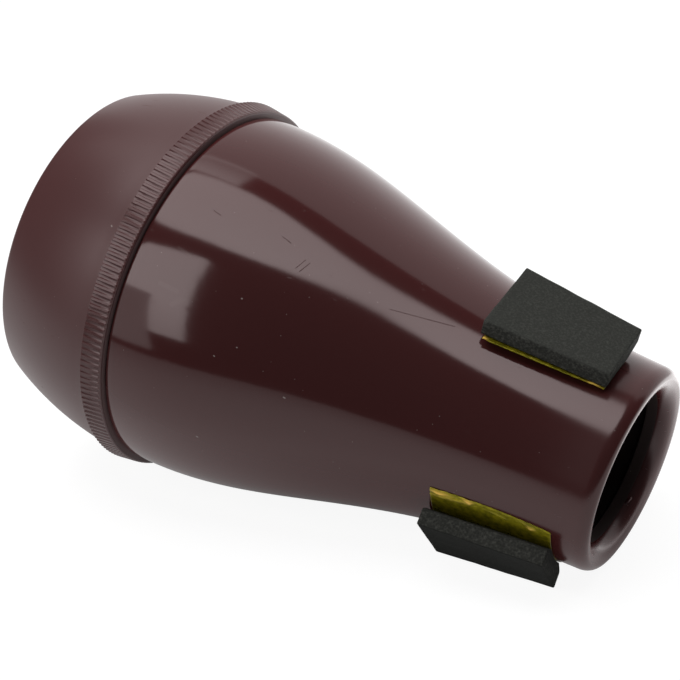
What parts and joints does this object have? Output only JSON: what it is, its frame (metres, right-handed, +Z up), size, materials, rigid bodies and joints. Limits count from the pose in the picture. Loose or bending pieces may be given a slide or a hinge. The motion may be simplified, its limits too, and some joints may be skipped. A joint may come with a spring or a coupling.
{
  "type": "trumpet straight mute",
  "caption": "Straight mute for a trumpet: hollow tapered plastic shell with a rounded open mouth, foam pads that grip the bell, and a screw cap with a ribbed rim.",
  "frame": {"origin": "on the floor, under the middle of the mute's box as it lies on its side", "axes": "+Z up, +X level and towards the mouth of the neck, +Y level and across. The mute's own axis dips 10.96 degrees towards the mouth, in the XZ plane."},
  "size_m": [0.1592, 0.0946, 0.0938],
  "materials": {
    "body_plastic": "glossy dark maroon-brown moulded plastic",
    "cap_plastic": "satin dark maroon-brown moulded plastic",
    "seal_rubber": "matt black rubber",
    "foam": "matt black closed-cell foam",
    "film": "glossy yellow adhesive film"
  },
  "bodies": {
    "body": {"body_shell": "body_plastic", "foam_pad_front": "foam", "foam_pad_rear": "foam", "foam_pad_top": "foam", "adhesive_film_front": "film", "adhesive_film_rear": "film", "adhesive_film_top": "film"},
    "seal": {"seal_ring": "seal_rubber"},
    "cap": {"end_cap": "cap_plastic"}
  },
  "joints": [
    {"name": "cap_lift", "type": "slide", "parent": "body", "child": "seal", "axis": [-0.9818, 0, 0.1901], "range_m": [0, 0.008]},
    {"name": "cap_turn", "type": "hinge", "parent": "seal", "child": "cap", "pos_m": [-0.03731, 0, 0.04625], "axis": [-0.9818, 0, 0.1901], "range_deg": [0, 720]}
  ],
  "couplings": [
    {"joint": "cap_lift", "follows": "cap_turn", "m_per_rad": 0.0006366}
  ]
}
